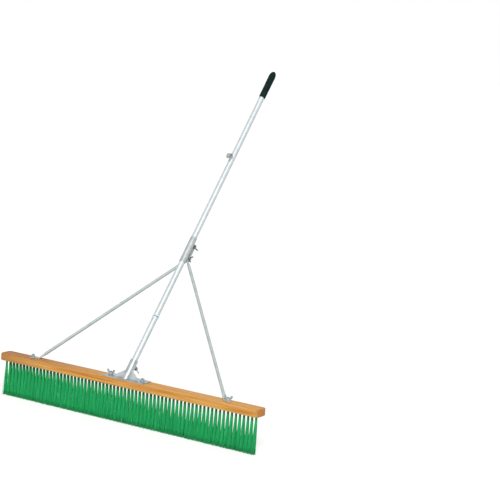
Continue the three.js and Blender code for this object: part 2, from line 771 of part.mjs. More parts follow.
// Bolt, washer and wing nut that clamp whatever lies at the given face on the board
function addBoardFasteners(name, x, face, turn) {
  const washerBottom = face + seatGap;
  const nutBottom = washerBottom + washerThickness + seatGap;
  const shankTop = nutBottom + hubHeight + boltStickOut;
  add(brush, `${name}_bolt`, carriageBolt(shankTop).translate(x, 0, 0), zincSteel);
  const washer = tube(washerRadius, boltHoleRadius, washerBottom, washerBottom + washerThickness, hubSides);
  add(brush, `${name}_washer`, washer.translate(x, 0, 0), zincSteel);
  const nut = add(brush, `${name}_wing_nut`, wingNut(threadDiameter), zincSteel);
  nut.position.set(x, 0, nutBottom);
  nut.rotation.z = turn;
}

const stayTabFace = boardTop + seatGap + stayTabThickness;
addBoardFasteners('left_plate', -plateBoltX, plateTop, leftPlateWingTurn);
addBoardFasteners('right_plate', plateBoltX, plateTop, rightPlateWingTurn);
addBoardFasteners('left_foot', -stayBoltX, stayTabFace, leftFootWingTurn);
addBoardFasteners('right_foot', stayBoltX, stayTabFace, rightFootWingTurn);

// Hanging hook: a strip saddled on the tube, then rolled outward, over and down
function hangingHook() {
  const stripInner = poleRadius + seatGap;
  const curlInner = hookCurlRadius - hookStrip;
  const curlX = stripInner + hookCurlRadius;
  const strapBottom = hookHeight - hookBendLength;
  const band = new THREE.Shape();
  band.moveTo(stripInner, strapBottom);
  band.lineTo(stripInner, hookHeight);
  band.absarc(curlX, hookHeight, hookCurlRadius, Math.PI, hookCurlEnd, true);
  band.absarc(curlX, hookHeight, curlInner, hookCurlEnd, Math.PI, false);
  band.lineTo(stripInner + hookStrip, strapBottom);
  const rolled = new THREE.ExtrudeGeometry(band, {
    depth: hookWidth,
    bevelEnabled: false,
    curveSegments: 14,
  });
  rolled.translate(0, 0, -hookWidth / 2).rotateX(quarterTurn).rotateZ(-quarterTurn);
  const ring = tube(stripInner + hookStrip, stripInner, hookFootBottom, hookHeight, 2 * tubeSides);
  const strap = block(hookFootWidth, 2 * hookCurlRadius, hookFootBottom, hookHeight)
    .translate(0, -stripInner, 0);
  const hook = solidOf(ring).intersect(solidOf(strap)).add(solidOf(rolled));
  const hole = crossRod(rivetRadius + seatGap, stripInner + 2 * hookStrip, rivetHeight, boltSides);
  return geometryOf(hook.subtract(solidOf(hole.translate(0, -stripInner - 2 * hookStrip, 0))));
}
add(poleFrame, 'hanging_hook', hangingHook(), greySteel);

// Blind rivet of the hook: a domed head outside, a bulb behind the tube's wall
function hookRivet() {
  const headFace = poleRadius + seatGap + hookStrip + seatGap;
  const boreRadius = poleRadius - poleWall;
  const bulbFace = Math.sqrt(boreRadius ** 2 - rivetBulbRadius ** 2) - seatGap;
  const domeShares = [[1, 0], [0.85, 0.7], [0.4, 1], [0, 1]];
  const profile = [
    [0, bulbFace - rivetBulbHeight],
    [rivetBulbRadius, bulbFace - rivetBulbHeight],
    [rivetBulbRadius, bulbFace],
    [rivetRadius, bulbFace],
    [rivetRadius, headFace],
    ...domeShares.map(([out, up]) => [out * rivetHeadRadius, headFace + up * rivetHeadHeight]),
  ];
  return turned(profile, boltSides).rotateX(quarterTurn).translate(0, 0, rivetHeight);
}
add(poleFrame, 'hook_rivet', hookRivet(), zincSteel);

// Grip: a dipped vinyl cap, round on the tube and pressed to a flat eyed tab at its tip
function grip() {
  const bore = poleRadius + seatGap;
  const outer = bore + gripWall;
  const bottom = poleReach - gripLength;
  const tabHalfWidth = gripTabWidth / 2;
  const tabHalfThickness = gripTabThickness / 2;
  const taperTop = poleReach - gripTabLength;
  const taperBottom = taperTop - gripTaperLength;
  const taperShares = [0, 0.25, 0.5, 0.75, 1];
  const tipShares = [0.4, 0.7, 0.9, 1];
  const levels = [
    [bottom, outer + gripRimProud, outer + gripRimProud],
    [bottom + gripRimHeight, outer + gripRimProud, outer + gripRimProud],
    [bottom + gripRimHeight + gripRimProud, outer, outer],
    ...taperShares.map((share) => [
      taperBottom + share * gripTaperLength,
      outer + (tabHalfThickness - outer) * smooth(share),
      outer + (tabHalfWidth - outer) * smooth(share),
    ]),
    ...tipShares.map((share) => [
      poleReach - tabHalfWidth + share * tabHalfWidth,
      tabHalfThickness,
      tabHalfWidth * Math.sqrt(1 - (share * share) / (1 + gripRimProud / tabHalfWidth)),
    ]),
  ];
  const widthAxis = new THREE.Vector3(1, 0, 0);
  const depthAxis = new THREE.Vector3(0, 1, 0);
  const rings = levels.map(([height, halfX, halfY]) => ringAt(
    new THREE.Vector3(0, 0, height),
    widthAxis,
    depthAxis,
    stadium(halfX, halfY, gripSides),
  ));
  const cavity = rod(bore, bottom - cutOverrun, upperTubeTop + seatGap, tubeSides);
  const eye = rod(gripEyeRadius, -gripTabWidth, gripTabWidth, boltSides)
    .rotateY(quarterTurn).translate(0, 0, poleReach - gripEyeFromTip);
  return geometryOf(solidOf(cappedLoft(rings)).subtract(solidOf(cavity)).subtract(solidOf(eye)));
}
add(poleFrame, 'grip', grip(), vinyl);

// The origin goes to the floor under the middle of the whole brush
brush.updateMatrixWorld(true);
const extent = new THREE.Box3().setFromObject(brush, true);
brush.position.y = -(extent.min.y + extent.max.y) / 2;
brush.updateMatrixWorld(true);

export default brush;
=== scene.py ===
# Dresses the tennis court brush: materials, filaments, grip, welds, threads, floor, lamp and
# camera. All lengths are in metres.

import json
import math

import bpy
import numpy as np
from mathutils import Matrix, Vector

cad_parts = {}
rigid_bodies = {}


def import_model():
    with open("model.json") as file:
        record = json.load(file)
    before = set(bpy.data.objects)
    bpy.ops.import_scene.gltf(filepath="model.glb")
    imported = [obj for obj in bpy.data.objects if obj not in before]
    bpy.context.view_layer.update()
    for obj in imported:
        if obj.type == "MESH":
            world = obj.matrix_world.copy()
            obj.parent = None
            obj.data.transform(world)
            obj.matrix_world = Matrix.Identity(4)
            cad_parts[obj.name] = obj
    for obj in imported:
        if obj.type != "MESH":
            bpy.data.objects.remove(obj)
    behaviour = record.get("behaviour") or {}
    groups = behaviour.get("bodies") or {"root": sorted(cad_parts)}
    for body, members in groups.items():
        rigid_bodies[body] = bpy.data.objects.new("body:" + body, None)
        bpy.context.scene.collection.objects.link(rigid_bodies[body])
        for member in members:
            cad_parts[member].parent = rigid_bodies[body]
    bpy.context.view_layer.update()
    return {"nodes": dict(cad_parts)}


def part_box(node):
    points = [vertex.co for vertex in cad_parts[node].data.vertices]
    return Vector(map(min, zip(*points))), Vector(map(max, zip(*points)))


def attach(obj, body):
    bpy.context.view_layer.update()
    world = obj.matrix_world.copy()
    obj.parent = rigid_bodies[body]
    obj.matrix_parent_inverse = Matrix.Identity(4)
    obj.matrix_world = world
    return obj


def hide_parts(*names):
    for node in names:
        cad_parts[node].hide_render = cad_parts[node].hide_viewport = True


MM = 0.001

for old in list(bpy.data.objects):
    bpy.data.objects.remove(old)

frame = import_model()
nodes = frame["nodes"]
board_low, board_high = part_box("head_board")
head = Vector(((board_low.x + board_high.x) / 2, (board_low.y + board_high.y) / 2, 0.0))
rng = np.random.default_rng(5802)

# Camera, placed from the middle of the head on the floor
CAMERA_PLACE = Vector((3.4688, -4.5141, 1.5440))
CAMERA_AZIMUTH = math.radians(33.25)
CAMERA_ELEVATION = math.radians(8.72)
CAMERA_ROLL = math.radians(3.39)
CAMERA_LENS = 113.8
CAMERA_SENSOR = 36.0
CAMERA_REACH = 100

# Lamp: azimuth 0 stands on the -Y side and 90 degrees on the +X side
SUN_AZIMUTH = math.radians(38)
SUN_ELEVATION = math.radians(40)
SUN_SOFTNESS = math.radians(24)
SUN_STRENGTH = 2.2

# World and floor: the light that falls on the object, and what shows behind it
WORLD_LIGHT = 0.32
WORLD_SEEN = 1.0
FLOOR_HALF = 30.0
FLOOR_SHADE = 0.72
FLOOR_ROUGHNESS = 0.9
FLOOR_GLOW = 0.5

# Filaments and the strips that back them. The place shares say how far out a filament may stand
# in its tuft
TUFT_PITCH = 17.1 * MM
ROW_OFFSET = 7.0 * MM
TUFTS_EACH_SIDE = 34
TUFT_ROOT_WIDTH = 6.5 * MM
TUFT_SPREAD = 18.0 * MM
TUFT_SPREAD_DEPTH = 130.0 * MM
FILAMENTS_PER_TUFT = 40
FILAMENT_RADIUS = 0.62 * MM
FILAMENT_RADIUS_SHARES = (0.85, 1.15)
FILAMENT_RINGS = 7
FILAMENT_SIDES = 4
GOLDEN_TURN = math.pi * (3 - math.sqrt(5))
PLACE_SCATTER = 0.03
PLACE_SHARES = (0.02, 1.0)
TIP_UNEVEN = 1.6 * MM
TIP_SCATTER = 1.6 * MM
TIP_DRAG = 4.5 * MM
SCATTER_POWER = 2
DRAG_POWER = 1.6
ROOT_DEPTH = 2.0 * MM
STRIP_WIDTH = 13.4 * MM
STRIP_THICKNESS = 4.0 * MM
STRIP_END_GAP = 8 * MM

# Pole, from the middle of the head on the floor
POLE_ANGLE = math.radians(51.8)
POLE_FOOT = Vector((0, -4 * MM, 170.5 * MM))
POLE_AXIS = Vector((0, math.cos(POLE_ANGLE), math.sin(POLE_ANGLE)))
POLE_BACK = Vector((0, math.sin(POLE_ANGLE), -math.cos(POLE_ANGLE)))
POLE_TIP = 1426 * MM
SOCKET_RADIUS = 14.5 * MM
TAPE_START = 256 * MM
TAPE_WIDTH = 18 * MM

# Grip, a dipped cap with a rounded tip. Dome and solid end reach down from the tip, and the lip
# and middle heights go up from the lower end
GRIP_LENGTH = 131.5 * MM
GRIP_BORE = 11.3 * MM
GRIP_SOLID = 42 * MM
GRIP_LIP_RADIUS = 12.2 * MM
GRIP_MID_RADIUS = 13.3 * MM
GRIP_TOP_RADIUS = 13.8 * MM
GRIP_LIP_EDGE = 0.4 * MM
GRIP_LIP_HEIGHT = 2.5 * MM
GRIP_MID_START = 6 * MM
GRIP_MID_END = 40 * MM
GRIP_DOME = 26 * MM
GRIP_DOME_STEPS = 14
GRIP_SIDES = 56
EYE_RADIUS = 4 * MM
EYE_FROM_TIP = 10 * MM
EYE_SIDES = 28

# Weld beads
BEAD_RADIUS = 1.7 * MM
BEAD_STEP = 1.2 * MM
BEAD_RIPPLE = 4.2 * MM
BEAD_RIPPLE_SHARE = 0.13
BEAD_END_SHARE = 0.45
BEAD_SIDES = 8
FOOT_DEPTH = 0.5 * MM

# Threads: for each kind of bolt its two names, its axis and its pitch
THREADS = {
    "plate": (("left", "right"), Vector((0, 0, 1)), 1.25 * MM),
    "foot": (("left", "right"), Vector((0, 0, 1)), 1.25 * MM),
    "clamp": (("lower", "upper"), Vector((1, 0, 0)), 1.0 * MM),
}
THREAD_HEIGHT = 0.4 * MM
THREAD_HALF_WIDTH = 0.4
THREAD_SUNK = 0.15 * MM
THREAD_CLEAR = 0.7 * MM
THREAD_STEPS = 24
THREAD_FADE_STEPS = 6
HUB_BORE_SHARE = 1.3

# Smoothing of meshes: corners this near are one, and edges under this angle are smooth
JOIN_DISTANCE = 0.002 * MM
SHARP_ANGLE = math.radians(32)

# Wood: darker towards -X, a painted dark reflection on the top towards -X, end grain at both ends
DARKENING_SHARE = 0.85
DARKENING_REACH = 0.6
TOP_SKIN = 1 * MM
END_GRAIN_START = 12 * MM
END_GRAIN_FULL = 2 * MM
END_GRAIN_SHARE = 0.55

# Metals: dark and light tone on a screen, roughness, and how metallic they are
ZINC_STEEL = ((158, 166, 168), (186, 193, 196), 0.36, 0.7)
GREY_STEEL = ((168, 174, 174), (192, 197, 197), 0.5, 0.3)
# Dark steel is painted shade: the wing bolts on the sleeve are drawn darker where they sit in
# shadow
PAINTED_SHADE_STEEL = ((106, 120, 118), (140, 153, 150), 0.45, 0.4)
GUSSET_STEEL = ((178, 187, 188), (200, 208, 209), 0.55, 0.3)
STAY_ALUMINIUM = ((182, 191, 192), (196, 204, 204), 0.45, 0.3)
TUBE_ALUMINIUM = ((206, 214, 217), (218, 225, 228), 0.42, 0.35)
METAL_ROUGHNESS_SWING = 0.07
METAL_GRAIN = 0.04 * MM
TUBE_LINES = 0.15 * MM
TUBE_LINE_SHARE = 0.35
TUBE_LINE_TONE = (120, 130, 134)

BLACK = (0, 0, 0, 1)
WHITE = (1, 1, 1, 1)


def srgb(r, g, b):
    """A colour given as 0 to 255 on a screen, as the linear values that shaders take."""
    def line(c):
        c /= 255
        return c / 12.92 if c <= 0.04045 else ((c + 0.055) / 1.055) ** 2.4
    return (line(r), line(g), line(b), 1.0)


def plug(tree, value, socket):
    """Links a socket to another, or sets it to a plain value."""
    if isinstance(value, bpy.types.NodeSocket):
        tree.links.new(value, socket)
    else:
        socket.default_value = value


class Shader:
    """A material with one Principled shader, and short calls that add nodes to it."""

    def __init__(self, name):
        self.material = bpy.data.materials.new(name + " skin")
        self.material.use_nodes = True
        self.tree = self.material.node_tree
        self.skin = self.tree.nodes["Principled BSDF"]
        self.place = self.tree.nodes.new("ShaderNodeTexCoord").outputs["Object"]
        self.normal = None

    def node(self, kind, inputs=None, **settings):
        made = self.tree.nodes.new(kind)
        for key, value in settings.items():
            setattr(made, key, value)
        for key, value in (inputs or {}).items():
            plug(self.tree, value, made.inputs[key])
        return made

    def mapped(self, **inputs):
        inputs.setdefault("Vector", self.place)
        return self.node("ShaderNodeMapping", inputs).outputs["Vector"]

    def stretched(self, x, y, z):
        return self.mapped(Scale=(x, y, z))

    def noise(self, vector, scale, detail=4.0, roughness=0.5, distortion=0.0):
        return self.node("ShaderNodeTexNoise", {
            "Vector": vector, "Scale": scale, "Detail": detail,
            "Roughness": roughness, "Distortion": distortion,
        }).outputs["Fac"]

    def ramp(self, factor, *stops):
        made = self.node("ShaderNodeValToRGB", {"Fac": factor})
        points = made.color_ramp.elements
        while len(points) < len(stops):
            points.new(0.5)
        for point, (position, colour) in zip(points, stops):
            point.position = position
            point.color = colour
        return made.outputs["Color"]

    def spread(self, factor, low, high, to_low=0.0, to_high=1.0):
        return self.node("ShaderNodeMapRange", {
            "Value": factor, "From Min": low, "From Max": high,
            "To Min": to_low, "To Max": to_high,
        }).outputs["Result"]

    def maths(self, operation, a, b=0.0):
        return self.node("ShaderNodeMath", {0: a, 1: b}, operation=operation).outputs["Value"]

    def blend(self, factor, a, b):
        made = self.node("ShaderNodeMix", data_type="RGBA")
        sockets = [s for s in made.inputs if s.enabled]
        for socket, value in zip(sockets, (factor, a, b)):
            plug(self.tree, value, socket)
        return [s for s in made.outputs if s.enabled][0]

    def set(self, name, value):
        plug(self.tree, value, self.skin.inputs[name])

    def bump(self, height, distance, strength):
        """Adds relief on top of the relief that is there."""
        inputs = {"Height": height, "Distance": distance, "Strength": strength}
        if self.normal is not None:
            inputs["Normal"] = self.normal
        self.normal = self.node("ShaderNodeBump", inputs).outputs["Normal"]
        self.set("Normal", self.normal)


def on_pole(x, back, along):
    """A place given across the pole, behind its axis and along it from its foot."""
    return head + POLE_FOOT + Vector((x, 0, 0)) + POLE_BACK * back + POLE_AXIS * along


def along_pole(s):
    """The distance of a shaded place along the pole, from the pole's foot."""
    run = s.node("ShaderNodeVectorMath", {0: s.place, 1: POLE_AXIS}, operation="DOT_PRODUCT")
    return s.maths("SUBTRACT", run.outputs["Value"], on_pole(0, 0, 0).dot(POLE_AXIS))


def wood():
    """Varnished board: grain along X, darker towards -X, with end grain at both ends."""
    s = Shader("wood")
    pores = s.noise(s.stretched(7, 210, 210), 9, 6, 0.65, 0.3)
    lines = s.noise(s.stretched(1.8, 90, 96), 3, 5, 0.6, 1.1)
    bands = s.noise(s.stretched(1.5, 46, 50), 2.4, 4, 0.55, 0.9)
    patches = s.noise(s.stretched(3.0, 8, 8), 1.3, 3)
    base = s.ramp(
        bands,
        (0.32, srgb(208, 134, 54)), (0.46, srgb(232, 164, 76)),
        (0.56, srgb(240, 177, 88)), (0.68, srgb(248, 196, 112)),
    )
    parts = s.node("ShaderNodeSeparateXYZ", {"Vector": s.place}).outputs
    along = parts["X"]
    # The board is darker towards the -X end
    end_darkening = s.spread(along, board_low.x, board_low.x * DARKENING_REACH, DARKENING_SHARE, 0.0)
    end_darkened = s.blend(end_darkening, base, srgb(176, 104, 40))
    # Painted reflection: the top face is darkened towards the -X end, as a dark reflection in its
    # varnish
    on_top = s.spread(parts["Z"], board_high.z - TOP_SKIN, board_high.z)
    painted_reflection_fade = s.spread(along, board_low.x, 0, DARKENING_SHARE, 0.0)
    with_painted_reflection = s.blend(s.maths("MULTIPLY", on_top, painted_reflection_fade), end_darkened, srgb(150, 92, 26))
    lined = s.blend(s.spread(lines, 0.50, 0.66, 0, 0.55), with_painted_reflection, srgb(170, 104, 46))
    pored = s.blend(s.spread(pores, 0.54, 0.70, 0, 0.45), lined, srgb(138, 82, 38))
    warm = s.blend(s.spread(patches, 0.40, 0.70, 0, 0.30), pored, srgb(236, 180, 112))
    at_ends = s.spread(
        s.maths("ABSOLUTE", along),
        board_high.x - END_GRAIN_START, board_high.x - END_GRAIN_FULL, 0, END_GRAIN_SHARE,
    )
    s.set("Base Color", s.blend(at_ends, warm, srgb(168, 104, 50)))
    s.set("Roughness", s.spread(pores, 0.3, 0.7, 0.42, 0.62))
    s.set("Specular IOR Level", 0.25)
    s.bump(pores, 0.3 * MM, 0.5)
    s.bump(lines, 0.4 * MM, 0.3)
    return s.material


def bristle():
    """Green monofilament, a little lighter and darker from strand to strand."""
    s = Shader("bristle")
    each = s.noise(s.stretched(1, 1, 0.02), 700, 1, 0.4)
    clumps = s.noise(s.stretched(1, 1, 0.1), 90, 2, 0.5)
    colour = s.ramp(
        each,
        (0.30, srgb(38, 190, 109)), (0.50, srgb(42, 197, 115)), (0.70, srgb(48, 205, 121)),
    )
    s.set("Base Color", s.blend(s.spread(clumps, 0.4, 0.7, 0, 0.2), colour, srgb(36, 188, 108)))
    s.set("Roughness", s.spread(each, 0.3, 0.7, 0.40, 0.55))
    s.set("Specular IOR Level", 0.3)
    return s.material


def metal(name, dark, light, roughness, metallic, lines=False, specular=0.25):
    """Metal with clouding and fine grain, or fine lines along the pole."""
    s = Shader(name)
    cloud = s.noise(s.place, 45, 4, 0.6)
    colour = s.ramp(cloud, (0.35, srgb(*dark)), (0.65, srgb(*light)))
    if lines:
        turned = s.mapped(Rotation=(math.pi / 2 - POLE_ANGLE, 0, 0))
        grains = s.noise(s.mapped(Vector=turned, Scale=(420, 420, 6)), 6, 4, 0.65)
        share = s.spread(grains, 0.45, 0.75, 0, TUBE_LINE_SHARE)
        colour = s.blend(share, colour, srgb(*TUBE_LINE_TONE))
    else:
        grains = s.noise(s.stretched(300, 300, 300), 6, 3, 0.6)
    s.set("Base Color", colour)
    s.set("Metallic", metallic)
    s.set("Roughness", s.spread(
        grains, 0.3, 0.7, roughness - METAL_ROUGHNESS_SWING, roughness + METAL_ROUGHNESS_SWING
    ))
    s.set("Specular IOR Level", specular)
    s.bump(grains, TUBE_LINES if lines else METAL_GRAIN, 0.6)
    return s.material


def zinc_steel():
    return metal("zinc_steel", *ZINC_STEEL)


def grey_steel():
    return metal("grey_steel", *GREY_STEEL)


# Painted shade: the wing bolts on the sleeve are drawn darker, as they sit in shadow
def dark_steel():
    return metal("dark_steel", *PAINTED_SHADE_STEEL)


def gusset_steel():
    return metal("gusset", *GUSSET_STEEL)


def stay_aluminium():
    return metal("aluminium", *STAY_ALUMINIUM, specular=0.1)


def tube_aluminium():
    """Drawn tube: fine lines along the pole."""
    return metal("tube", *TUBE_ALUMINIUM, lines=True, specular=0.05)


def tape():
    """A pale wrap with one blue-grey line round its middle."""
    s = Shader("tape")
    wrinkle = s.noise(s.place, 240, 4, 0.6)
    pale = s.ramp(wrinkle, (0.35, srgb(214, 230, 240)), (0.65, srgb(234, 245, 252)))
    share = s.spread(along_pole(s), TAPE_START, TAPE_START + TAPE_WIDTH)
    line = s.ramp(share, (0.34, BLACK), (0.39, WHITE), (0.61, WHITE), (0.66, BLACK))
    s.set("Base Color", s.blend(line, pale, srgb(150, 166, 178)))
    s.set("Roughness", 0.4)
    s.bump(wrinkle, 0.1 * MM, 0.5)
    return s.material


def vinyl():
    """Nearly black dipped vinyl with a green cast."""
    s = Shader("vinyl")
    cloud = s.noise(s.place, 60, 4, 0.6)
    s.set("Base Color", s.ramp(cloud, (0.35, srgb(15, 33, 31)), (0.65, srgb(25, 46, 44))))
    s.set("Roughness", s.spread(cloud, 0.3, 0.7, 0.40, 0.55))
    s.set("Specular IOR Level", 0.04)
    s.bump(s.noise(s.place, 900, 2, 0.5), 0.05 * MM, 0.5)
    return s.material


def make_materials():
    """Materials by CAD slot, and by node where a node looks unlike the rest of its slot."""
    tube = tube_aluminium()
    gusset = gusset_steel()
    return {
        "wood": wood(),
        "bristle": bristle(),
        "zinc_steel": zinc_steel(),
        "grey_steel": grey_steel(),
        "dark_steel": dark_steel(),
        "aluminium": stay_aluminium(),
        "tape": tape(),
        "vinyl": vinyl(),
        "lower_tube": tube,
        "upper_tube": tube,
        "left_gusset": gusset,
        "right_gusset": gusset,
    }


def make_smoothing():
    """A modifier tree that joins a mesh's split corners and shades it smooth below an angle."""
    tree = bpy.data.node_groups.new("smooth below an angle", "GeometryNodeTree")
    tree.interface.new_socket("Geometry", in_out="INPUT", socket_type="NodeSocketGeometry")
    tree.interface.new_socket("Geometry", in_out="OUTPUT", socket_type="NodeSocketGeometry")
    start = tree.nodes.new("NodeGroupInput")
    weld = tree.nodes.new("GeometryNodeMergeByDistance")
    weld.inputs["Distance"].default_value = JOIN_DISTANCE
    plain = tree.nodes.new("GeometryNodeRemoveAttribute")
    plain.inputs["Name"].default_value = "custom_normal"
    faces = tree.nodes.new("GeometryNodeSetShadeSmooth")
    faces.domain = "FACE"
    edges = tree.nodes.new("GeometryNodeSetShadeSmooth")
    edges.domain = "EDGE"
    edges.inputs["Shade Smooth"].default_value = False
    angle = tree.nodes.new("GeometryNodeInputMeshEdgeAngle")
    compare = tree.nodes.new("FunctionNodeCompare")
    compare.operation = "GREATER_THAN"
    compare.inputs[1].default_value = SHARP_ANGLE
    end = tree.nodes.new("NodeGroupOutput")
    link = tree.links.new
    link(start.outputs[0], weld.inputs["Geometry"])
    link(weld.outputs["Geometry"], plain.inputs["Geometry"])
    link(plain.outputs["Geometry"], faces.inputs["Geometry"])
    link(faces.outputs["Geometry"], edges.inputs["Geometry"])
    link(angle.outputs["Unsigned Angle"], compare.inputs[0])
    link(compare.outputs["Result"], edges.inputs["Selection"])
    link(edges.outputs["Geometry"], end.inputs[0])
    return tree


def shade_by_angle(thing):
    thing.modifiers.new("smooth", "NODES").node_group = smoothing


def dress_cad_nodes():
    for name, node in nodes.items():
        slot = node.data.materials[0].name.split(".")[0]
        node.data.materials.clear()
        node.data.materials.append(materials.get(name, materials[slot]))
        shade_by_angle(node)


def new_object(name, data):
    thing = bpy.data.objects.new(name, data)
    bpy.context.scene.collection.objects.link(thing)
    return thing


def new_mesh(name, vertices, faces):
    mesh = bpy.data.meshes.new(name)
    mesh.from_pydata([tuple(v) for v in vertices], [], [tuple(f) for f in faces])
    return mesh


def add_piece(name, vertices, faces, slot, body, smooth=True):
    """A visible piece that the CAD lacks or that replaces a CAD node, riding on a body."""
    mesh = new_mesh(name, vertices, faces)
    mesh.validate()
    mesh.shade_smooth() if smooth else mesh.shade_flat()
    mesh.materials.append(materials[slot])
    piece = new_object(name, mesh)
    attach(piece, body)
    return piece


def world_corners(name):
    return [nodes[name].matrix_world @ v.co for v in nodes[name].data.vertices]


def box_middle(name):
    low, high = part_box(name)
    return (low + high) / 2


def tuft_width(depth):
    """How wide a tuft has opened at this depth under the board."""
    return TUFT_ROOT_WIDTH + TUFT_SPREAD * (1 - np.exp(-depth / TUFT_SPREAD_DEPTH))


def filaments(places):
    """Corners and faces of the filaments of the tufts that stand at these places."""
    count = FILAMENTS_PER_TUFT
    sides = FILAMENT_SIDES
    side_angle = 2 * math.pi / sides
    rings = np.linspace(0, 1, FILAMENT_RINGS)
    under = board_low.z
    vertices = []
    faces = []
    for place in places:
        order = np.arange(count) + 0.5
        turn = order * GOLDEN_TURN + rng.uniform(0, 2 * math.pi)
        share = np.clip(np.sqrt(order / count) + rng.normal(0, PLACE_SCATTER, count), *PLACE_SHARES)
        tips = rng.uniform(0, TIP_UNEVEN, count)
        lean = rng.normal(0, TIP_SCATTER, (count, 2))
        twist = rng.uniform(0, side_angle, count)
        radius = FILAMENT_RADIUS * rng.uniform(*FILAMENT_RADIUS_SHARES, count)
        for i in range(count):
            z = (under + ROOT_DEPTH) + (tips[i] - under - ROOT_DEPTH) * rings
            depth = np.clip(under - z, 0, None)
            fall = depth / under
            reach = share[i] * (tuft_width(depth) / 2 - radius[i])
            x = place.x + math.cos(turn[i]) * reach + lean[i, 0] * fall ** SCATTER_POWER
            x -= TIP_DRAG * fall ** DRAG_POWER
            y = place.y + math.sin(turn[i]) * reach + lean[i, 1] * fall ** SCATTER_POWER
            first = len(vertices)
            for r in range(FILAMENT_RINGS):
                for k in range(sides):
                    angle = k * side_angle + twist[i]
                    vertices.append((
                        x[r] + radius[i] * math.cos(angle), y[r] + radius[i] * math.sin(angle), z[r]
                    ))
            for r in range(FILAMENT_RINGS - 1):
                a = first + sides * r
                b = a + sides
                for k in range(sides):
                    n = (k + 1) % sides
                    faces.append((a + n, a + k, b + k, b + n))
            last = first + sides * (FILAMENT_RINGS - 1)
            faces.append(tuple(range(first, first + sides)))
            faces.append(tuple(reversed(range(last, last + sides))))
    return vertices, faces


def make_bristles():
    """Two staggered rows of tufts, each in a left and a right half."""
    front = [i * TUFT_PITCH for i in range(-TUFTS_EACH_SIDE, TUFTS_EACH_SIDE + 1)]
    back = [(i + 0.5) * TUFT_PITCH for i in range(-TUFTS_EACH_SIDE, TUFTS_EACH_SIDE)]
    rows = {
        "bristles_front_left": ([x for x in front if x < 0], -ROW_OFFSET),
        "bristles_front_right": ([x for x in front if x >= 0], -ROW_OFFSET),
        "bristles_back_left": ([x for x in back if x < 0], ROW_OFFSET),
        "bristles_back_right": ([x for x in back if x >= 0], ROW_OFFSET),
    }
    for node, (row, y) in rows.items():
        places = [head + Vector((x, y, 0)) for x in row]
        piece = add_piece(node + "_filaments", *filaments(places), "bristle", "head_frame")
        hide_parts(node)


def make_strips():
    """The backing strips that hold the tufts, let into the board's underside."""
    reach = (board_high.x - board_low.x) / 2 - STRIP_END_GAP
    for side, middle in (("front", -ROW_OFFSET), ("back", ROW_OFFSET)):
        low = head + Vector((-reach, middle - STRIP_WIDTH / 2, board_low.z))
        high = head + Vector((reach, middle + STRIP_WIDTH / 2, board_low.z + STRIP_THICKNESS))
        outline = ((low.x, low.y), (high.x, low.y), (high.x, high.y), (low.x, high.y))
        corners = [(x, y, z) for z in (low.z, high.z) for x, y in outline]
        faces = [(3, 2, 1, 0), (4, 5, 6, 7)]
        faces += [(k, (k + 1) % 4, (k + 1) % 4 + 4, k + 4) for k in range(4)]
        add_piece("backing_strip_" + side, corners, faces, "wood", "head_frame", smooth=False)


def revolved(profile, sides, place):
    """A closed body from (radius, height) points that start and end on the axis."""
    vertices = []
    rings = []
    for radius, height in profile:
        count = 1 if radius == 0 else sides
        rings.append((len(vertices), count))
        for k in range(count):
            angle = 2 * math.pi * k / sides
            vertices.append(place(radius * math.cos(angle), radius * math.sin(angle), height))
    faces = []
    for (a, first), (b, second) in zip(rings, rings[1:]):
        for k in range(sides):
            n = (k + 1) % sides
            if first == 1:
                faces.append((a, b + n, b + k))
            elif second == 1:
                faces.append((a + k, a + n, b))
            else:
                faces.append((a + k, a + n, b + n, b + k))
    return vertices, faces


def difference(body, cutter):
    """Corners and faces of one closed body with another cut out of it."""
    whole = new_object("whole", new_mesh("whole", *body))
    tool = new_object("tool", new_mesh("tool", *cutter))
    step = whole.modifiers.new("cut", "BOOLEAN")
    step.operation = "DIFFERENCE"
    step.solver = "EXACT"
    step.object = tool
    made = whole.evaluated_get(bpy.context.evaluated_depsgraph_get()).to_mesh()
    vertices = [v.co.copy() for v in made.vertices]
    faces = [tuple(f.vertices) for f in made.polygons]
    bpy.data.objects.remove(whole)
    bpy.data.objects.remove(tool)
    return vertices, faces


def make_grip():
    """The cap: a thin lip, a slight swell, a rounded tip and a round eye across it."""
    bottom = POLE_TIP - GRIP_LENGTH
    bore_end = POLE_TIP - GRIP_SOLID
    dome = POLE_TIP - GRIP_DOME
    profile = [
        (0, bore_end), (GRIP_BORE, bore_end), (GRIP_BORE, bottom),
        (GRIP_LIP_RADIUS - GRIP_LIP_EDGE, bottom), (GRIP_LIP_RADIUS, bottom + GRIP_LIP_EDGE),
        (GRIP_LIP_RADIUS, bottom + GRIP_LIP_HEIGHT), (GRIP_MID_RADIUS, bottom + GRIP_MID_START),
        (GRIP_MID_RADIUS, bottom + GRIP_MID_END),
    ]
    for k in range(GRIP_DOME_STEPS):
        angle = k / GRIP_DOME_STEPS * math.pi / 2
        profile.append((GRIP_TOP_RADIUS * math.cos(angle), dome + GRIP_DOME * math.sin(angle)))
    profile.append((0, POLE_TIP))
    body = revolved(profile, GRIP_SIDES, on_pole)
    reach = 2 * GRIP_TOP_RADIUS
    eye = revolved(
        [(0, -reach), (EYE_RADIUS, -reach), (EYE_RADIUS, reach), (0, reach)], EYE_SIDES,
        lambda back, up, x: on_pole(x, back, POLE_TIP - EYE_FROM_TIP + up),
    )
    piece = add_piece("grip_cap", *difference(body, eye), "vinyl", "upper_pole", smooth=False)
    shade_by_angle(piece)
    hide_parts("grip")


def row_faces(rings, sides, closed=False):
    """Faces round a row of rings of corners, with a cap at each end unless it closes."""
    faces = []
    for r in range(rings if closed else rings - 1):
        a = r * sides
        b = (r + 1) % rings * sides
        for k in range(sides):
            n = (k + 1) % sides
            faces.append((a + k, b + k, b + n, a + n))
    if not closed:
        last = (rings - 1) * sides
        faces.append(tuple(range(sides)))
        faces.append(tuple(reversed(range(last, last + sides))))
    return faces


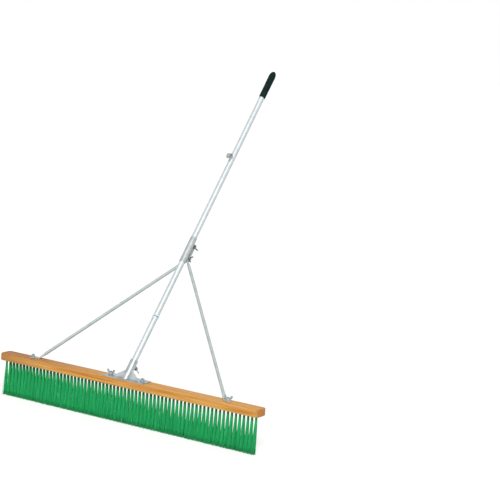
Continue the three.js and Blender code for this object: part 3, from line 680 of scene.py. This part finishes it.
def bead(points, closed=False):
    """Corners and faces of a rippled weld bead along a line on a level plate."""
    line = [Vector(p) for p in points]
    lengths = [0.0]
    for a, b in zip(line, line[1:]):
        lengths.append(lengths[-1] + (b - a).length)
    vertices = []
    count = len(line)
    for i, point in enumerate(line):
        before = line[(i - 1) % count] if closed or i else point
        after = line[(i + 1) % count] if closed or i < count - 1 else point
        run = (after - before).normalized()
        side = run.cross(Vector((0, 0, 1))).normalized()
        rise = side.cross(run)
        ripple = BEAD_RIPPLE_SHARE * math.sin(lengths[i] / BEAD_RIPPLE * 2 * math.pi)
        radius = BEAD_RADIUS * (1 + ripple)
        if not closed and i in (0, count - 1):
            radius *= BEAD_END_SHARE
        for k in range(BEAD_SIDES):
            a = 2 * math.pi * k / BEAD_SIDES
            vertices.append(point + side * radius * math.cos(a) + rise * radius * math.sin(a))
    return vertices, row_faces(count, BEAD_SIDES, closed)


def foot_corners(name):
    """The corners of a node's lowest edge, where it stands on the plate."""
    corners = world_corners(name)
    lowest = min(c.z for c in corners)
    return [c for c in corners if c.z < lowest + FOOT_DEPTH]


def make_socket_weld(plate_top):
    """A bead round the leaning socket, whose cut on the plate is an ellipse."""
    middle = on_pole(0, 0, (plate_top - on_pole(0, 0, 0).z) / POLE_AXIS.z)
    steps = round(2 * math.pi * SOCKET_RADIUS / BEAD_STEP)
    ring = []
    for k in range(steps):
        a = 2 * math.pi * k / steps
        ring.append(middle + Vector((
            SOCKET_RADIUS * math.cos(a), SOCKET_RADIUS / POLE_AXIS.z * math.sin(a), 0
        )))
    add_piece("socket_weld", *bead(ring, closed=True), "zinc_steel", "head_frame")


def make_gusset_welds(plate_top):
    """A bead along both sides of each gusset's foot."""
    for name in ("left_gusset", "right_gusset"):
        foot = foot_corners(name)
        start = min(p.x for p in foot)
        reach = max(p.x for p in foot) - start
        steps = round(reach / BEAD_STEP)
        for side, y in (("front", min(p.y for p in foot)), ("back", max(p.y for p in foot))):
            line = [(start + reach * k / steps, y, plate_top) for k in range(steps + 1)]
            add_piece(f"{name}_{side}_weld", *bead(line), "zinc_steel", "head_frame")


def make_welds():
    plate_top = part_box("base_plate")[1].z
    make_socket_weld(plate_top)
    make_gusset_welds(plate_top)


def thread(bolt, nut, axis, pitch):
    """A helical ridge on the end of a bolt, from just outside its nut to its chamfer."""
    middle = box_middle(bolt)
    if (box_middle(nut) - middle).dot(axis) < 0:
        axis = -axis
    side = axis.orthogonal().normalized()
    across = axis.cross(side)

    def run(corner):
        return (corner - middle).dot(axis)

    def reach(corner):
        return (corner - middle - axis * run(corner)).length

    tip = max(run(c) for c in world_corners(bolt))
    radius = max(reach(c) for c in world_corners(bolt) if run(c) > tip - 2 * pitch)
    hub = max(run(c) for c in world_corners(nut) if reach(c) < radius * HUB_BORE_SHARE)
    start = hub + THREAD_CLEAR
    steps = int((tip - pitch - start) / pitch * THREAD_STEPS)
    vertices = []
    for k in range(steps + 1):
        angle = 2 * math.pi * k / THREAD_STEPS
        out = side * math.cos(angle) + across * math.sin(angle)
        place = middle + axis * (start + pitch * k / THREAD_STEPS)
        rise = THREAD_HEIGHT * min(1, k / THREAD_FADE_STEPS, (steps - k) / THREAD_FADE_STEPS)
        for height, shift in (
            (-THREAD_SUNK, -THREAD_HALF_WIDTH), (rise, 0), (-THREAD_SUNK, THREAD_HALF_WIDTH)
        ):
            vertices.append(place + out * (radius + height) + axis * (pitch * shift))
    return vertices, row_faces(steps + 1, 3)


def make_threads():
    for kind, (sides, axis, pitch) in THREADS.items():
        for side in sides:
            name = f"{side}_{kind}"
            shape = thread(name + "_bolt", name + "_wing_nut", axis, pitch)
            add_piece(name + "_thread", *shape, "zinc_steel", "head_frame", smooth=False)


def seen_share(tree):
    """1 where the camera, a reflection or glass looks, and 0 for the light on the object."""
    path = tree.nodes.new("ShaderNodeLightPath")
    seen = path.outputs["Is Camera Ray"]
    for ray in ("Is Glossy Ray", "Is Transmission Ray"):
        either = tree.nodes.new("ShaderNodeMath")
        either.operation = "MAXIMUM"
        tree.links.new(seen, either.inputs[0])
        tree.links.new(path.outputs[ray], either.inputs[1])
        seen = either.outputs["Value"]
    return seen


def floor_paint():
    """Matt white that keeps the object's shadow and glows only where it is seen."""
    material = bpy.data.materials.new("floor")
    material.use_nodes = True
    tree = material.node_tree
    skin = tree.nodes["Principled BSDF"].inputs
    skin["Base Color"].default_value = (FLOOR_SHADE, FLOOR_SHADE, FLOOR_SHADE, 1)
    skin["Roughness"].default_value = FLOOR_ROUGHNESS
    skin["Specular IOR Level"].default_value = 0.0
    skin["Emission Color"].default_value = WHITE
    glow = tree.nodes.new("ShaderNodeMath")
    glow.operation = "MULTIPLY"
    glow.inputs[1].default_value = FLOOR_GLOW
    tree.links.new(seen_share(tree), glow.inputs[0])
    tree.links.new(glow.outputs["Value"], skin["Emission Strength"])
    return material


def make_stage():
    half = FLOOR_HALF
    corners = [(-half, -half, 0), (half, -half, 0), (half, half, 0), (-half, half, 0)]
    mesh = new_mesh("floor", corners, [(0, 1, 2, 3)])
    mesh.materials.append(floor_paint())
    floor = new_object("floor", mesh)


def make_world():
    """White where it is seen, and much dimmer as a light."""
    world = bpy.data.worlds.new("studio")
    world.use_nodes = True
    bpy.context.scene.world = world
    tree = world.node_tree
    shade = tree.nodes["Background"]
    strength = tree.nodes.new("ShaderNodeMapRange")
    strength.inputs["To Min"].default_value = WORLD_LIGHT
    strength.inputs["To Max"].default_value = WORLD_SEEN
    tree.links.new(seen_share(tree), strength.inputs["Value"])
    shade.inputs["Color"].default_value = WHITE
    tree.links.new(strength.outputs["Result"], shade.inputs["Strength"])


def make_lamp():
    """One sun."""
    lamp = bpy.data.lights.new("key", "SUN")
    lamp.energy = SUN_STRENGTH
    lamp.angle = SUN_SOFTNESS
    place = Vector((
        math.sin(SUN_AZIMUTH) * math.cos(SUN_ELEVATION),
        -math.cos(SUN_AZIMUTH) * math.cos(SUN_ELEVATION),
        math.sin(SUN_ELEVATION),
    ))
    new_object("key", lamp).rotation_euler = (-place).to_track_quat("-Z", "Y").to_euler()


def make_camera():
    """The photo's view, rolled a little."""
    look = Vector((
        -math.sin(CAMERA_AZIMUTH) * math.cos(CAMERA_ELEVATION),
        math.cos(CAMERA_AZIMUTH) * math.cos(CAMERA_ELEVATION),
        -math.sin(CAMERA_ELEVATION),
    ))
    level = Vector((math.cos(CAMERA_AZIMUTH), math.sin(CAMERA_AZIMUTH), 0))
    rise = level.cross(look)
    right = level * math.cos(CAMERA_ROLL) + rise * math.sin(CAMERA_ROLL)
    up = rise * math.cos(CAMERA_ROLL) - level * math.sin(CAMERA_ROLL)
    turn = Matrix((right, up, -look)).transposed().to_4x4()
    data = bpy.data.cameras.new("camera")
    data.sensor_width = CAMERA_SENSOR
    data.lens = CAMERA_LENS
    data.clip_end = CAMERA_REACH
    camera = new_object("camera", data)
    camera.matrix_world = Matrix.Translation(head + CAMERA_PLACE) @ turn
    bpy.context.scene.camera = camera


materials = make_materials()
smoothing = make_smoothing()
dress_cad_nodes()
make_bristles()
make_strips()
make_grip()
make_welds()
make_threads()
make_stage()
make_world()
make_lamp()
make_camera()
bpy.context.scene.view_settings.view_transform = "Standard"
